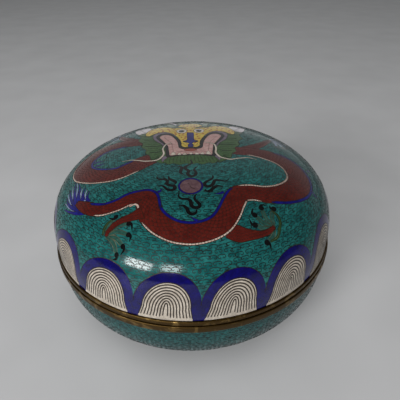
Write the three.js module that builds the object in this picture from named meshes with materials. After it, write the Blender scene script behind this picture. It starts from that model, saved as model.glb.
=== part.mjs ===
// A round cloisonne enamel box: a domed lid on a deep bowl, both of enamelled copper, each with a
// turned brass band at the seam, on a brass foot ring. Millimetres, +Z up, origin at the centre of
// the circle that the foot ring stands on. Everything is turned about the Z axis.
import * as THREE from 'three';

// Driving dimensions.
const SEAM_HEIGHT = 60; // the plane where lid and bowl meet, above the table
const GAP = 0.3; // clearance between pieces that touch
const WALL = 2.4; // copper with enamel on both faces
const WALL_RADIUS = 98.4; // outside of the enamel where it is widest
const ROUND_STEPS = 64; // facets around every turned piece

const LID_RISE = 60; // crown of the lid above the seam
const BOWL_DROP = 56; // lowest point of the bowl below the seam
const LID_FULLNESS = 2.82; // exponent of the dome's curve: 2 is an ellipse, more is squarer
const BOWL_FULLNESS = 2.8;
const OUTER_STEPS = 13; // facets from rim to crown, outside
const INNER_STEPS = 10; // the same, inside

const LID_BAND_RADIUS = 99.4;
const LID_BAND_HEIGHT = 3.3;
const LID_BAND_BORE = 95.6;
const BOWL_BAND_RADIUS = 100;
const BOWL_BAND_HEIGHT = 5;
const BAND_CHAMFER = 0.45;

const LIP_RADIUS = 95; // upstanding lip of the bowl's band, which the lid drops over
const LIP_BORE = 93.8;
const LIP_RISE = 5.4;
const LIP_CHAMFER = 0.4;

const FOOT_RADIUS = 60;
const FOOT_BORE = 56;
const FOOT_CHAMFER = 0.6;
const STRAIGHT_WALL = 5.3; // upright part of each wall, measured from the seam

// Finishes.
const teal = new THREE.MeshStandardMaterial({ color: 0x2d6f6a, roughness: 0.22, metalness: 0 });
const deepTeal = new THREE.MeshStandardMaterial({ color: 0x2a6660, roughness: 0.24, metalness: 0 });
const brass = new THREE.MeshStandardMaterial({ color: 0x8c6a34, roughness: 0.42, metalness: 1 });

// A quarter of a full, rounded dome as a profile of [radius, height], from its widest
// circle up to the axis.
function domeCurve(radius, height, fullness, steps) {
  const power = 2 / fullness;
  const points = [];
  for (let i = 0; i < steps; i += 1) {
    const turn = (i / steps) * (Math.PI / 2);
    points.push([radius * Math.cos(turn) ** power, height * Math.sin(turn) ** power]);
  }
  points.push([0, height]);
  return points;
}

// The closed section of a domed shell with an open mouth: inside from the axis down to the
// mouth, then outside from the mouth up to the axis. Heights are measured from the seam.
function shellSection(rise, mouth, fullness) {
  const dome = rise - STRAIGHT_WALL;
  const lift = ([radius, height]) => [radius, height + STRAIGHT_WALL];
  const outside = domeCurve(WALL_RADIUS, dome, fullness, OUTER_STEPS).map(lift);
  const inside = domeCurve(WALL_RADIUS - WALL, dome - WALL, fullness, INNER_STEPS).map(lift);
  return {
    outside,
    section: [...inside.reverse(), [WALL_RADIUS - WALL, mouth], [WALL_RADIUS, mouth], ...outside],
  };
}

// Height of a profile of [radius, height] at one radius, along its straight facets.
function heightAt(profile, radius) {
  const end = profile.findIndex(([r]) => r <= radius);
  const [r0, h0] = profile[end - 1];
  const [r1, h1] = profile[end];
  return h0 + ((radius - r0) / (r1 - r0)) * (h1 - h0);
}

// One turned piece: the section, as [radius, height], spun about the Z axis.
function turned(name, section, material) {
  const points = section.map(([radius, height]) => new THREE.Vector2(radius, height));
  const geometry = new THREE.LatheGeometry(points, ROUND_STEPS);
  geometry.rotateX(Math.PI / 2);
  const mesh = new THREE.Mesh(geometry, material);
  mesh.name = name;
  return mesh;
}

const closed = (section) => [...section, section[0]];
const below = ([radius, height]) => [radius, -height];

// The domed lid, hollow, its wall standing on the lid's brass band.
function lidShell() {
  const { section } = shellSection(LID_RISE, LID_BAND_HEIGHT + GAP, LID_FULLNESS);
  return turned('lid_shell', section, teal);
}

// The bowl: the same kind of shell turned over, its wall hanging from the bowl's band.
const bowl = shellSection(BOWL_DROP, BOWL_BAND_HEIGHT + GAP, BOWL_FULLNESS);

function bowlShell() {
  return turned('bowl_shell', bowl.section.map(below).reverse(), deepTeal);
}

// Brass band around the lid's mouth, a plain ring with eased outer edges.
function lidRim() {
  const seat = GAP / 2;
  const section = [
    [LID_BAND_BORE, seat],
    [LID_BAND_RADIUS - BAND_CHAMFER, seat],
    [LID_BAND_RADIUS, seat + BAND_CHAMFER],
    [LID_BAND_RADIUS, LID_BAND_HEIGHT - BAND_CHAMFER],
    [LID_BAND_RADIUS - BAND_CHAMFER, LID_BAND_HEIGHT],
    [LID_BAND_BORE, LID_BAND_HEIGHT],
  ];
  return turned('lid_rim', closed(section), brass);
}

// Brass band around the bowl's mouth, with the upstanding lip that keeps the lid in place.
function bowlRim() {
  const seat = -GAP / 2;
  const section = [
    [LIP_BORE, -BOWL_BAND_HEIGHT],
    [BOWL_BAND_RADIUS - BAND_CHAMFER, -BOWL_BAND_HEIGHT],
    [BOWL_BAND_RADIUS, BAND_CHAMFER - BOWL_BAND_HEIGHT],
    [BOWL_BAND_RADIUS, seat - BAND_CHAMFER],
    [BOWL_BAND_RADIUS - BAND_CHAMFER, seat],
    [LIP_RADIUS, seat],
    [LIP_RADIUS, LIP_RISE - LIP_CHAMFER],
    [LIP_RADIUS - LIP_CHAMFER, LIP_RISE],
    [LIP_BORE, LIP_RISE],
  ];
  return turned('bowl_rim', closed(section), brass);
}

// Brass ring under the bowl. Its top follows the bowl's underside.
function footRing() {
  const table = -SEAM_HEIGHT;
  const topAt = (radius) => -heightAt(bowl.outside, radius) - GAP;
  const section = [
    [FOOT_BORE + FOOT_CHAMFER, table],
    [FOOT_RADIUS - FOOT_CHAMFER, table],
    [FOOT_RADIUS, table + FOOT_CHAMFER],
    [FOOT_RADIUS, topAt(FOOT_RADIUS)],
    [FOOT_BORE, topAt(FOOT_BORE)],
    [FOOT_BORE, table + FOOT_CHAMFER],
  ];
  return turned('foot_ring', closed(section), brass);
}

const lid = new THREE.Group();
lid.add(lidShell(), lidRim());

const base = new THREE.Group();
base.add(bowlShell(), bowlRim(), footRing());

const box = new THREE.Group();
box.add(lid, base);
box.position.z = SEAM_HEIGHT;
box.updateMatrixWorld(true);

export default box;
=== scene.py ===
"""A round cloisonne enamel box, dressed piece by piece around its turned solids.

The lid's picture is drawn flat, in millimetres, on the dome unrolled from its crown: a point's
distance from the middle is the way down the dome from the crown, and its direction is its
direction around the box, with the front at -v. The same drawing gives the enamel cells, which
are real faces of the shell, and the wires between them, which are fine bars let into it.
"""

import logging
import math
from dataclasses import dataclass, field
from enum import Enum
from functools import cached_property

import bpy
import numpy as np
from mathutils import Matrix, Vector
from mathutils.geometry import delaunay_2d_cdt


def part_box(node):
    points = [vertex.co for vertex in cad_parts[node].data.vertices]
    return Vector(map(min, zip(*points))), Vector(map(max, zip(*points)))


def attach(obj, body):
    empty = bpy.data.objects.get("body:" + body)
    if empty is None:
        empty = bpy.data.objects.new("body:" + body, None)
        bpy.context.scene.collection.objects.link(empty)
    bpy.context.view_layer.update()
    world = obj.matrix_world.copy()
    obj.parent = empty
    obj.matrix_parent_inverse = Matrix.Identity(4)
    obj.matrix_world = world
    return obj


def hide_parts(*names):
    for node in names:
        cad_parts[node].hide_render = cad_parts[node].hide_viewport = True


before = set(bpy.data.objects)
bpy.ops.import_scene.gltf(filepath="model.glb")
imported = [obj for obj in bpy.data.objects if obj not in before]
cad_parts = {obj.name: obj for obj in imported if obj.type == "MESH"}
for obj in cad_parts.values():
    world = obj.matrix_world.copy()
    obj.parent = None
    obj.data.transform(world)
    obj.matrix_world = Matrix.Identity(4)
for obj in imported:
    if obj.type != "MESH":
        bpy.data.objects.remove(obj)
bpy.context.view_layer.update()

MM = 0.001
SEAT_GAP = 0.3  # clearance between the pieces, in mm
WALL = 2.4  # copper with enamel on both faces, in mm
STRAIGHT_WALL = 5.3  # upright part of each shell above or below the seam, in mm
LID_FULLNESS = 2.82  # exponent of the dome's curve: 2 is an ellipse, more is squarer
BOWL_FULLNESS = 2.8
ROUND_STEPS = 256  # facets around every turned piece
SEED = 7
ENAMEL_IOR = 1.42
EDGE_WIRE = 0.42  # width of the wire round a large cell, in mm
THIN_WIRE = 0.34  # round hair, horns and edge strips
FINE_WIRE = 0.26  # round small cells, and for lines within them
HAIR_WIRE = 0.24  # round the smallest cells, and for scales
WIRE_PROUD = 0.035  # how far a wire stands above the enamel, in mm
WIRE_ROOT = 0.3  # how far it reaches into the wall
MAP_MARGIN = 2.04  # a wall's own map, as multiples of its length; the rest is margin
LINING_SPOT = 0.07  # middle of the lining's small place in the map's corner
LINING_REACH = 0.06  # and how far it runs from there

log = logging.getLogger("cloisonne_box")
Points = np.ndarray


class Enamel(Enum):
    """The enamel colours, by what they fill."""

    GROUND = "ground_teal"
    COBALT = "lappet_cobalt"
    WHITE = "lappet_white"
    BODY = "dragon_red"
    DORSAL = "dorsal_navy"
    BELLY = "belly_white"
    MANE = "mane_green"
    MANE_DARK = "mane_dark_green"
    YELLOW = "face_yellow"
    AMBER = "freckle_amber"
    LIPS = "lip_pink"
    LILAC = "cheek_lilac"
    BLACK = "line_black"
    TONGUE = "tongue_red"
    EAR = "ear_pale"
    PEARL = "pearl_mauve"
    PAW = "paw_grey_green"
    MIST = "fin_mist"
    LINING = "lining_turquoise"


class WireSet(Enum):
    """Groups of wires that are laid as one piece each."""

    OUTLINE = "lid_outline_wires"
    PAW = "lid_paw_wires"
    STRIPE = "lid_lappet_wires"
    SCALE = "lid_scale_wires"
    GROUND = "lid_ground_wires"


# ---------------------------------------------------------------------------------------------
# Finishes
# ---------------------------------------------------------------------------------------------


class NodeBench:
    """Small helper that adds shader nodes to one material and wires them together."""

    def __init__(self, name: str) -> None:
        """Start an empty node material.

        Args:
            name: The material's name.
        """
        self.material = bpy.data.materials.new(name)
        self.material.use_nodes = True
        self.tree = self.material.node_tree
        self.shader = self.tree.nodes["Principled BSDF"]

    def add(self, kind: str, inputs: dict | None = None, **settings: object) -> bpy.types.Node:
        """Add one node.

        Args:
            kind: The node's type, without the ShaderNode prefix.
            inputs: Values or output sockets for its inputs, by name or index.
            **settings: The node's own properties.

        Returns:
            The new node.
        """
        node = self.tree.nodes.new("ShaderNode" + kind)
        for key, value in settings.items():
            setattr(node, key, value)
        for key, value in (inputs or {}).items():
            self.feed(node.inputs[key], value)
        return node

    def feed(self, socket: bpy.types.NodeSocket, value: object) -> None:
        """Link an output to a socket, or set the socket's own value.

        Args:
            socket: The input.
            value: An output socket, or a plain value.
        """
        if isinstance(value, bpy.types.NodeSocket):
            self.tree.links.new(value, socket)
        else:
            socket.default_value = value

    def place(self) -> bpy.types.NodeSocket:
        """The coordinates that every pattern here is laid out in, in metres."""
        return self.add("TexCoord").outputs["Object"]

    def noise(self, size: float, detail: float = 2.0, distortion: float = 0.0) -> bpy.types.NodeSocket:
        """A noise pattern.

        Args:
            size: How wide its blotches are, in mm.
            detail: Layers of finer noise.
            distortion: How far it is stirred.

        Returns:
            Its factor output.
        """
        inputs = {"Vector": self.place(), "Scale": 1 / (size * MM), "Detail": detail}
        inputs["Distortion"] = distortion
        return self.add("TexNoise", inputs).outputs["Fac"]

    def spread(
        self, fac: bpy.types.NodeSocket, low: float, high: float, out: tuple[float, float] = (0, 1)
    ) -> bpy.types.NodeSocket:
        """Stretch the range low to high of a factor over the range out."""
        inputs = {"Value": fac, "From Min": low, "From Max": high, "To Min": out[0], "To Max": out[1]}
        return self.add("MapRange", inputs).outputs["Result"]

    def mix(self, fac: object, one: object, two: object, how: str = "MIX") -> bpy.types.NodeSocket:
        """Mix two colours.

        Args:
            fac: Share of the second colour.
            one: First colour, four numbers or a socket.
            two: Second colour.
            how: Blend type.

        Returns:
            The mixed colour.
        """
        node = self.add("Mix", data_type="RGBA", blend_type=how)
        self.feed(node.inputs[0], fac)
        self.feed(node.inputs[6], one)
        self.feed(node.inputs[7], two)
        return node.outputs[2]

    def bump(self, height: bpy.types.NodeSocket, depth: float, strength: float = 1.0) -> None:
        """Give the surface a relief of that depth, in mm."""
        node = self.add("Bump", {"Height": height, "Distance": depth * MM, "Strength": strength})
        self.feed(self.shader.inputs["Normal"], node.outputs["Normal"])


@dataclass(frozen=True)
class EnamelFinish:
    """Ground and polished vitreous enamel: mottled, slightly pitted, glossy.

    Attributes:
        deep: The darker colour in the mottling, linear RGB.
        pale: The lighter colour.
        mottle: Width of the mottling, in mm.
        roughness: Roughness between its scratches.
        pits: Share of the surface taken by pinholes, 0 to 1.
    """

    deep: tuple[float, float, float]
    pale: tuple[float, float, float]
    mottle: float = 5.0
    roughness: float = 0.09
    pits: float = 0.5

    def material(self, name: str) -> bpy.types.Material:
        """Make the finish as a material.

        Args:
            name: The material's name.

        Returns:
            The material.
        """
        bench = NodeBench(name)
        cloud = bench.spread(bench.noise(self.mottle, 4.0, 0.6), 0.33, 0.67)
        colour = bench.mix(cloud, (*self.deep, 1), (*self.pale, 1))
        grain = bench.spread(bench.noise(0.7, 2.0), 0.3, 0.7, (0.82, 1.14))
        grey = bench.add("CombineColor", {"Red": grain, "Green": grain, "Blue": grain}).outputs[0]
        colour = bench.mix(1.0, colour, grey, "MULTIPLY")
        cells = bench.add("TexVoronoi", {"Vector": bench.place(), "Scale": 1 / (2.4 * MM)})
        hole = bench.spread(cells.outputs["Distance"], 0.05 + 0.05 * self.pits, 0.03, (0, 1))
        chance = bench.spread(bench.noise(9.0, 1.0), 0.56 - 0.1 * self.pits, 0.6)
        pit = bench.add("Math", {0: hole, 1: chance}, operation="MULTIPLY").outputs[0]
        colour = bench.mix(pit, colour, (0.02, 0.02, 0.018, 1))
        bench.feed(bench.shader.inputs["Base Color"], colour)
        haze = bench.spread(bench.noise(14.0, 3.0), 0.3, 0.7, (self.roughness, self.roughness + 0.05))
        bench.feed(bench.shader.inputs["Roughness"], haze)
        ripple = bench.noise(1.6, 2.0)
        sunk = bench.add("Math", {0: ripple, 1: pit}, operation="SUBTRACT").outputs[0]
        bench.bump(sunk, 0.02, 0.35)
        bench.shader.inputs["IOR"].default_value = ENAMEL_IOR
        return bench.material


@dataclass(frozen=True)
class MetalFinish:
    """Brass or copper wire, brown where it has tarnished and brighter where it is rubbed.

    Attributes:
        tarnish: The brown of the tarnish, linear RGB.
        bright: The rubbed metal.
        worn: How much of it is rubbed bright, 0 to 1.
        roughness: Roughness of the bright metal.
        metallic: How metallic the surface reads under its tarnish.
    """

    tarnish: tuple[float, float, float]
    bright: tuple[float, float, float]
    worn: float
    roughness: float
    metallic: float

    def material(self, name: str) -> bpy.types.Material:
        """Make the finish as a material.

        Args:
            name: The material's name.

        Returns:
            The material.
        """
        bench = NodeBench(name)
        blotch = bench.noise(7.0, 6.0, 0.8)
        rubbed = bench.spread(blotch, 0.72 - 0.45 * self.worn, 0.86 - 0.45 * self.worn)
        colour = bench.mix(rubbed, (*self.tarnish, 1), (*self.bright, 1))
        fine = bench.spread(bench.noise(0.5, 3.0), 0.3, 0.7, (0.75, 1.15))
        grey = bench.add("CombineColor", {"Red": fine, "Green": fine, "Blue": fine}).outputs[0]
        bench.feed(bench.shader.inputs["Base Color"], bench.mix(1.0, colour, grey, "MULTIPLY"))
        rough = bench.spread(rubbed, 0, 1, (self.roughness + 0.16, self.roughness))
        bench.feed(bench.shader.inputs["Roughness"], rough)
        bench.shader.inputs["Metallic"].default_value = self.metallic
        bench.bump(bench.noise(0.8, 3.0), 0.03, 0.5)
        return bench.material


ENAMELS: dict[Enamel, EnamelFinish] = {
    Enamel.GROUND: EnamelFinish((0.003, 0.055, 0.055), (0.014, 0.130, 0.122), 3.6),
    Enamel.COBALT: EnamelFinish((0.0015, 0.0012, 0.045), (0.003, 0.002, 0.100), 4.0),
    Enamel.WHITE: EnamelFinish((0.36, 0.31, 0.255), (0.54, 0.48, 0.405), 4.0, 0.17, 0.9),
    Enamel.BODY: EnamelFinish((0.058, 0.0055, 0.0035), (0.092, 0.010, 0.006), 5.0),
    Enamel.DORSAL: EnamelFinish((0.002, 0.002, 0.070), (0.005, 0.006, 0.150), 4.0),
    Enamel.BELLY: EnamelFinish((0.38, 0.26, 0.215), (0.52, 0.41, 0.345), 3.0),
    Enamel.MANE: EnamelFinish((0.016, 0.055, 0.012), (0.035, 0.085, 0.022), 4.0),
    Enamel.MANE_DARK: EnamelFinish((0.008, 0.030, 0.010), (0.018, 0.055, 0.015), 3.0),
    Enamel.YELLOW: EnamelFinish((0.36, 0.235, 0.022), (0.50, 0.37, 0.055), 3.0),
    Enamel.AMBER: EnamelFinish((0.20, 0.045, 0.008), (0.30, 0.085, 0.012), 2.0),
    Enamel.LIPS: EnamelFinish((0.33, 0.175, 0.16), (0.44, 0.28, 0.26), 3.0),
    Enamel.LILAC: EnamelFinish((0.075, 0.055, 0.085), (0.14, 0.11, 0.15), 3.0),
    Enamel.BLACK: EnamelFinish((0.0015, 0.0015, 0.0018), (0.004, 0.004, 0.004), 3.0),
    Enamel.TONGUE: EnamelFinish((0.16, 0.03, 0.02), (0.24, 0.06, 0.04), 2.0),
    Enamel.EAR: EnamelFinish((0.34, 0.30, 0.33), (0.50, 0.47, 0.48), 3.0),
    Enamel.PEARL: EnamelFinish((0.075, 0.038, 0.045), (0.125, 0.072, 0.08), 3.0),
    Enamel.PAW: EnamelFinish((0.008, 0.040, 0.032), (0.025, 0.080, 0.062), 2.5),
    Enamel.MIST: EnamelFinish((0.10, 0.14, 0.24), (0.20, 0.25, 0.36), 3.0),
    Enamel.LINING: EnamelFinish((0.02, 0.19, 0.24), (0.04, 0.28, 0.32), 8.0, 0.18, 0.9),
}
# The bowl's teal is the lid's ground teal made darker: painted shade of the bowl's downward-facing side.
BOWL_SHADED_TEAL = EnamelFinish((0.003, 0.045, 0.046), (0.008, 0.085, 0.082), 7.0)
DARK_WIRE = MetalFinish((0.026, 0.017, 0.009), (0.12, 0.075, 0.03), 0.30, 0.30, 0.7)
PAW_WIRE = MetalFinish((0.060, 0.062, 0.034), (0.15, 0.14, 0.08), 0.40, 0.32, 0.5)
SCALE_WIRE = MetalFinish((0.030, 0.008, 0.005), (0.10, 0.04, 0.02), 0.25, 0.34, 0.5)
GROUND_WIRE = MetalFinish((0.003, 0.007, 0.006), (0.040, 0.050, 0.035), 0.16, 0.34, 0.3)
STRIPE_WIRE = MetalFinish((0.030, 0.022, 0.016), (0.10, 0.07, 0.045), 0.25, 0.35, 0.4)
BAND_BRASS = MetalFinish((0.085, 0.050, 0.015), (0.28, 0.18, 0.06), 0.40, 0.28, 1.0)


# ---------------------------------------------------------------------------------------------
# Flat drawing
# ---------------------------------------------------------------------------------------------


def smooth(points: list | Points, closed: bool = False, step: float = 0.7) -> Points:
    """Run a smooth curve through a few points.

    Args:
        points: The points, one row each, with any number of columns.
        closed: Whether the curve comes back to its start.
        step: Greatest distance between the curve's own points, in mm.

    Returns:
        The curve's points; a closed curve doesn't repeat its first.
    """
    p = np.asarray(points, float)
    if closed:
        ring = np.vstack([p[-1], p, p[0], p[1]])
    else:
        ring = np.vstack([2 * p[0] - p[1], p, 2 * p[-1] - p[-2]])
    out = []
    for a, b, c, d in zip(ring[:-3], ring[1:-2], ring[2:-1], ring[3:]):
        count = max(1, math.ceil(np.linalg.norm((c - b)[:2]) / step))
        t = (np.arange(count) / count)[:, None]
        bend = 2 * b + (c - a) * t + (2 * a - 5 * b + 4 * c - d) * t**2
        out.append((bend + (3 * b - a - 3 * c + d) * t**3) / 2)
    if not closed:
        out.append(p[-1:])
    return np.vstack(out)


def side_of(line: Points) -> Points:
    """Find which way is left along a line.

    Args:
        line: Its points, rows of u, v and any more.

    Returns:
        Unit vectors, one for each point.
    """
    way = np.gradient(line[:, :2], axis=0)
    way /= np.linalg.norm(way, axis=1, keepdims=True) + 1e-12
    return np.stack([-way[:, 1], way[:, 0]], 1)


def stroke(points: list | Points, step: float = 0.7, round_end: bool = False) -> Points:
    """Outline of a brush stroke of changing width.

    Args:
        points: Rows of u, v and half the width, in mm.
        step: Greatest distance between the outline's points.
        round_end: Whether its ends are round rather than cut or pointed.

    Returns:
        The closed outline.
    """
    line = smooth(points, step=step)
    away = side_of(line) * line[:, 2:3]
    left, right = line[:, :2] + away, line[:, :2] - away
    if not round_end:
        return np.vstack([left, right[::-1]])
    caps = []
    for centre, start in ((line[-1], away[-1]), (line[0], -away[0])):
        turn = np.linspace(0, -math.pi, 7)[1:-1]
        spun = [start * math.cos(a) + np.array([-start[1], start[0]]) * math.sin(a) for a in turn]
        caps.append(centre[:2] + np.array(spun))
    return np.vstack([left, caps[0], right[::-1], caps[1]])


def oval(u: float, v: float, wide: float, tall: float, count: int = 28) -> Points:
    """Outline of an ellipse with its centre and half-sizes in mm."""
    turn = np.arange(count) / count * 2 * math.pi
    return np.stack([u + wide * np.cos(turn), v + tall * np.sin(turn)], 1)


def mirrored(half: list) -> Points:
    """Join a half outline to its mirror image.

    Args:
        half: The right half, from bottom to top.

    Returns:
        The closed outline.
    """
    right = smooth(half)
    left = right[::-1] * [-1, 1]
    keep = np.abs(left[:, 0]) > 1e-6
    return np.vstack([right, left[keep]])


def flip(points: list | Points, side: int) -> Points:
    """Mirror points left to right, or leave them.

    Args:
        points: Rows of u, v and any more.
        side: 1 to leave them, -1 to mirror them.

    Returns:
        The points.
    """
    p = np.array(points, float)
    p[:, 0] *= side
    return p


def inside(points: Points, outline: Points) -> np.ndarray:
    """Which points lie inside a closed outline.

    Args:
        points: Rows of u, v.
        outline: The outline's corners.

    Returns:
        A mask over the points.
    """
    hit = np.zeros(len(points), bool)
    low, high = outline.min(0), outline.max(0)
    near = np.all((points > low) & (points < high), axis=1)
    if not near.any():
        return hit
    x, y = points[near, 0], points[near, 1]
    winds = np.zeros(len(x), int)
    for (x0, y0), (x1, y1) in zip(outline, np.roll(outline, -1, axis=0)):
        left = (x1 - x0) * (y - y0) - (x - x0) * (y1 - y0)
        winds += (y0 <= y) & (y < y1) & (left > 0)
        winds -= (y1 <= y) & (y < y0) & (left < 0)
    hit[near] = winds != 0
    return hit


@dataclass
class Wire:
    """One wire of the drawing.

    Attributes:
        line: Its middle line, rows of u, v in mm.
        width: Its width on the polished surface, in mm.
        layer: Number of the cell that it lies on; cells laid later hide it.
        group: The piece that it belongs to.
    """

    line: Points
    width: float
    layer: int
    group: WireSet


@dataclass
class Picture:
    """The drawing: enamel cells laid one over another, and wires."""

    cells: list[tuple[Points, Enamel]] = field(default_factory=list)
    wires: list[Wire] = field(default_factory=list)

    def fill(self, outline: Points, enamel: Enamel, wire: float = EDGE_WIRE) -> None:
        """Lay a cell, with a wire of that width around it.

        Args:
            outline: The cell's closed outline.
            enamel: Its colour.
            wire: Width of its outline wire, or 0 for none.
        """
        self.cells.append((outline[:, :2], enamel))
        if wire:
            self.line(np.vstack([outline, outline[:1]]), wire)

    def line(self, points: Points, width: float, group: WireSet = WireSet.OUTLINE) -> None:
        """Lay a wire on the cells laid so far."""
        self.wires.append(Wire(points[:, :2], width, len(self.cells), group))

    def bare_runs(self, group: WireSet) -> list[tuple[Points, float]]:
        """The stretches of a group's wires that no later cell hides.

        Args:
            group: Which wires.

        Returns:
            Middle lines with their widths.
        """
        wires = [w for w in self.wires if w.group is group]
        if not wires:
            return []
        points = np.vstack([w.line for w in wires])
        layer = np.concatenate([np.full(len(w.line), w.layer) for w in wires])
        hidden = np.zeros(len(points), bool)
        for number, (outline, _) in enumerate(self.cells):
            below = np.nonzero((layer <= number) & ~hidden)[0]
            hidden[below] = inside(points[below], outline)
        runs, start = [], 0
        for wire in wires:
            shown = ~hidden[start : start + len(wire.line)]
            start += len(wire.line)
            edges = np.nonzero(np.diff(np.concatenate([[0], shown.astype(int), [0]])))[0]
            for first, last in zip(edges[::2], edges[1::2]):
                if last - first > 2:
                    runs.append((wire.line[first:last], wire.width))
        return runs


# ---------------------------------------------------------------------------------------------
# Turned walls
# ---------------------------------------------------------------------------------------------


@dataclass(frozen=True)
class TurnedWall:
    """One face of a domed shell, unrolled from its crown, or from a bowl's lowest point.

    Attributes:
        radius: Widest radius, in mm.
        rise: Height of the crown from the seam.
        mouth: Height of the wall's edge from the seam.
        fullness: Exponent of the curve.
        seam: Height of the seam above the table.
        way: 1 for a lid, -1 for a bowl.
        face: 1 for the outside, -1 for the inside.
    """

    radius: float
    rise: float
    mouth: float
    fullness: float
    seam: float
    way: int
    face: int = 1

    @cached_property
    def curve(self) -> Points:
        """The wall's profile.

        Returns:
            Rows of way from the crown, radius and height from the seam, in mm.
        """
        turn = np.linspace(math.pi / 2, 0, 1500)
        power = 2 / self.fullness
        radius = self.radius * np.abs(np.cos(turn)) ** power
        height = STRAIGHT_WALL + (self.rise - STRAIGHT_WALL) * np.abs(np.sin(turn)) ** power
        radius[0] = 0
        radius = np.append(radius, self.radius)
        height = np.append(height, self.mouth)
        steps = np.hypot(np.diff(radius), np.diff(height))
        return np.stack([np.concatenate([[0], np.cumsum(steps)]), radius, height], 1)

    @property
    def length(self) -> float:
        """Way from the crown down to the wall's edge, in mm."""
        return float(self.curve[-1, 0])

    def radius_at(self, way: np.ndarray | float) -> np.ndarray:
        """Radius, in mm, at a way from the crown."""
        return np.interp(way, self.curve[:, 0], self.curve[:, 1])

    def place(self, flat: Points, lift: np.ndarray | float = 0.0) -> tuple[Points, Points]:
        """Put drawn points on the wall.

        Args:
            flat: Rows of u, v in mm.
            lift: Height above the surface, in mm.

        Returns:
            Their places in metres, and the surface's outward normals.
        """
        way = np.hypot(flat[:, 0], flat[:, 1])
        aim = flat / np.maximum(way, 1e-9)[:, None]
        table = self.curve
        radius, height = self.radius_at(way), np.interp(way, table[:, 0], table[:, 2])
        ahead, behind = np.minimum(way + 0.4, self.length), np.maximum(way - 0.4, 0)
        out = np.interp(behind, table[:, 0], table[:, 2]) - np.interp(ahead, table[:, 0], table[:, 2])
        rise = self.radius_at(ahead) - self.radius_at(behind)
        size = np.hypot(out, rise) + 1e-12
        out, rise = out / size * self.face, rise / size * self.face
        normal = np.stack([aim[:, 0] * out, aim[:, 1] * out, rise * self.way], 1)
        spot = np.stack([aim[:, 0] * radius, aim[:, 1] * radius, self.seam + self.way * height], 1)
        return (spot + normal * np.reshape(lift, (-1, 1))) * MM, normal

    def at(self, way: np.ndarray | float, turn: np.ndarray | float) -> Points:
        """Drawn point at a way from the crown and an angle from the front, in radians."""
        way, turn = np.broadcast_arrays(way, turn)
        return np.stack([way * np.sin(turn), -way * np.cos(turn)], -1)


# ---------------------------------------------------------------------------------------------
# What is drawn
# ---------------------------------------------------------------------------------------------


@dataclass(frozen=True)
class LappetBorder:
    """The border of arched lappets standing on the lid's rim.

    Attributes:
        front: Angles of the joints between the lappets at the front, in degrees.
        rest: How many even lappets close the ring behind.
        half: Half the width of a lappet's white field at its foot, in mm.
        tall: Height of the white field.
        top_band: Width of the blue band over it.
        shoulder: Height at which its sides turn into its round top.
        taper: Its width there, as a share of its width at the foot.
        lean: How far its top stands right of its foot.
        stripes: Dark wires nested in the white field.
    """

    front: tuple[float, ...] = (-65.6, -43.0, -20.5, 1.3, 22.6, 44.6, 67.6)
    rest: int = 10
    half: float = 16.0
    tall: float = 25.8
    top_band: float = 5.6
    shoulder: float = 9.5
    taper: float = 0.865
    lean: float = 3.4
    stripes: int = 8

    def arch(self, wall: TurnedWall, middle: float, half: float, tall: float, foot: float) -> Points:
        """One arch as drawn points, from its left foot over the top to its right foot.

        Args:
            wall: The wall that it stands on.
            middle: Direction of the middle of its foot, in radians.
            half: Half its width at the rim, in mm.
            tall: Its height.
            foot: Height at which it starts.

        Returns:
            The open line.
        """
        swing = np.linspace(0, math.pi, 41)
        above = self.shoulder * tall / self.tall
        top = half * self.taper
        across = -np.sign(np.cos(swing)) * top * np.abs(np.cos(swing)) ** 0.95
        up = above + (tall - above) * np.sin(swing) ** 0.95
        side = np.linspace(foot, above, 6)[:-1]
        spread = top + (half - top) * (1 - side / above)
        across = np.concatenate([-spread, across, spread[::-1]])
        up = np.concatenate([side, up, side[::-1]])
        sway = self.lean * (up / self.tall - 0.2)
        return wall.at(wall.length - up, middle + (across + sway) / wall.radius)

    def joints(self) -> list[float]:
        """Angles of all joints between lappets, in radians."""
        back = np.linspace(self.front[-1], self.front[0] + 360, self.rest + 1)[1:]
        return [math.radians(a) for a in (*self.front, *back)]

    def draw(self, picture: Picture, wall: TurnedWall) -> None:
        """Add the border to the picture.

        Args:
            picture: The picture.
            wall: The wall that it is drawn for.
        """
        joints = self.joints()
        spans = [((a + b) / 2, (b - a) * wall.radius / 2) for a, b in zip(joints[:-1], joints[1:])]
        for middle, room in spans:
            outer = self.arch(wall, middle, room + 3.0, self.tall + self.top_band, -3)
            picture.fill(outer, Enamel.COBALT, 0)
            turn = np.arctan2(outer[:, 0], -outer[:, 1])
            near = np.abs((turn - middle + math.pi) % (2 * math.pi) - math.pi) < room / wall.radius
            picture.line(outer[near], EDGE_WIRE)
        for middle, room in spans:
            half = self.half * room / 19.3
            picture.fill(self.arch(wall, middle, half, self.tall, -3), Enamel.WHITE, 0.6)
            for i in range(self.stripes):
                narrow = 1.15 + i * (half - 2.6) / (self.stripes - 1)
                lower = 1.2 + i * 1.64
                foot = 2.2 if i < self.stripes - 1 else 3.4
                nested = self.arch(wall, middle, half - narrow, self.tall - lower, foot)
                picture.line(nested, 0.85, WireSet.STRIPE)


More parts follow.
